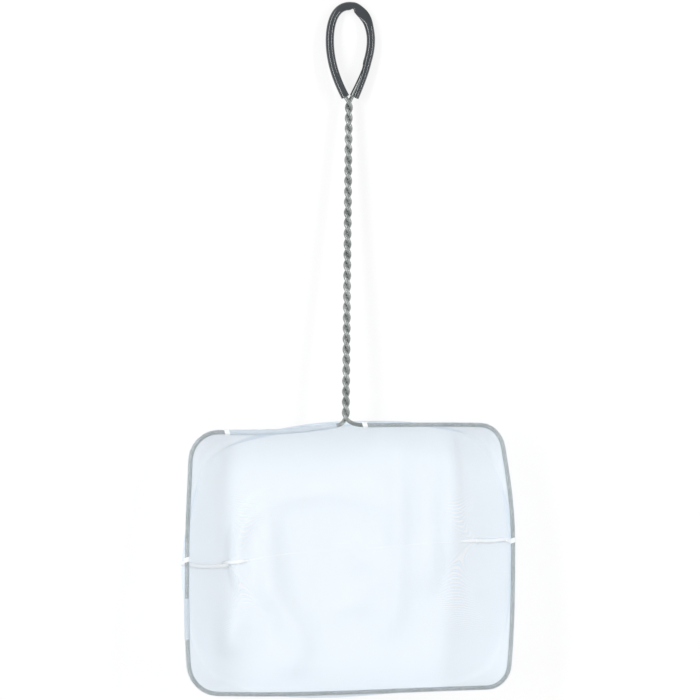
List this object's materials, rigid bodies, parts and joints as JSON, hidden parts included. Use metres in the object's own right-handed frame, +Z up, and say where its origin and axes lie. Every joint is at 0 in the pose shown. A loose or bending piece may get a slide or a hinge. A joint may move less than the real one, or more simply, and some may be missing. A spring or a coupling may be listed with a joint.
{
  "type": "aquarium fish net",
  "caption": "Aquarium fish net with a square wire hoop, a twisted two-strand wire handle, a sleeved hanging loop and a white mesh bag.",
  "frame": {"origin": "on the table, under the middle of the net's overall box", "axes": "+Z up, +Y along the handle from the hoop to the hanging loop, +X to the right seen from above"},
  "size_m": [0.2028, 0.427, 0.0362],
  "materials": {
    "wire": "galvanised, dull",
    "sleeve": "soft vinyl, glossy",
    "mesh": "fine translucent nylon mesh",
    "thread": "white polyester thread"
  },
  "bodies": {
    "root": {"rim_wire": "wire", "strand_front": "wire", "strand_back": "wire", "loop_leg_left": "wire", "loop_leg_right": "wire", "grip_sleeve": "sleeve", "handle_panel": "mesh", "far_panel": "mesh", "hem_left": "mesh", "hem_right": "mesh", "hem_far": "mesh", "bag_seam": "thread", "tack_left": "thread", "tack_right": "thread", "tack_upper_left": "thread", "tack_throat": "thread"}
  },
  "joints": []
}
